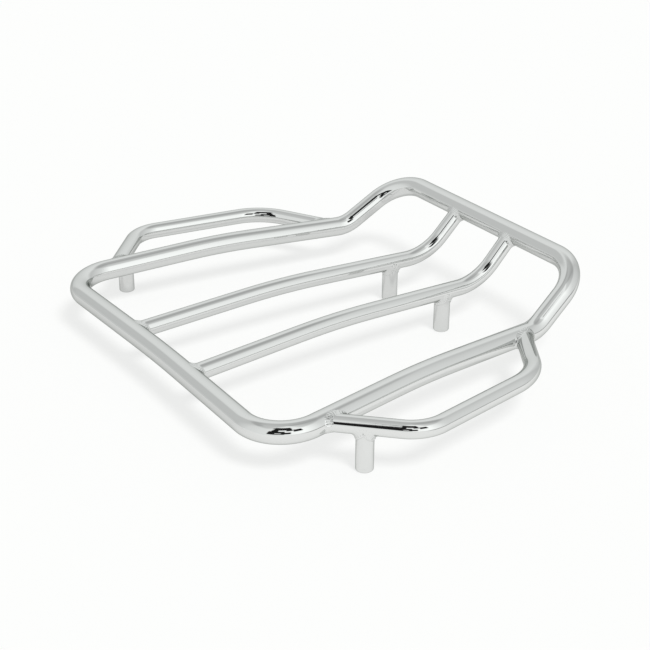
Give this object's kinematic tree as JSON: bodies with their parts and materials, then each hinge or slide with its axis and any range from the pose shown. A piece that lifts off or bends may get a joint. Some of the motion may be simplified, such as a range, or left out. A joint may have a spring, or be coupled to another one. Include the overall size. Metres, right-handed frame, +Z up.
{
  "type": "motorcycle luggage rack",
  "caption": "Welded round-tube luggage rack with arched deck bars, looped side wings and a raised rear rail, on tapped posts.",
  "frame": {"origin": "middle of the footprint, on the plane of the four feet", "axes": "+X along the deck from the wide front rail to the raised rear rail, +Z up, -Y the rider's left"},
  "size_m": [0.319, 0.4038, 0.0728],
  "materials": {
    "hoop_tube": "bright plated tube",
    "bar_tube": "bright plated tube",
    "wing_tube": "bright plated tube",
    "post": "bright plated turned steel",
    "weld": "bright plated, dressed weld"
  },
  "bodies": {
    "root": {"hoop": "hoop_tube", "bar_left": "bar_tube", "bar_right": "bar_tube", "wing_left": "wing_tube", "wing_right": "wing_tube", "post_front_left": "post", "post_front_right": "post", "post_rear_left": "post", "post_rear_right": "post", "weld_bar_front_left": "weld", "weld_bar_front_right": "weld", "weld_bar_rear_left": "weld", "weld_bar_rear_right": "weld", "weld_wing_front_left": "weld", "weld_wing_front_right": "weld", "weld_wing_rear_left": "weld", "weld_wing_rear_right": "weld", "weld_post_front_left": "weld", "weld_post_front_right": "weld", "weld_post_rear_left": "weld", "weld_post_rear_right": "weld"}
  },
  "joints": []
}
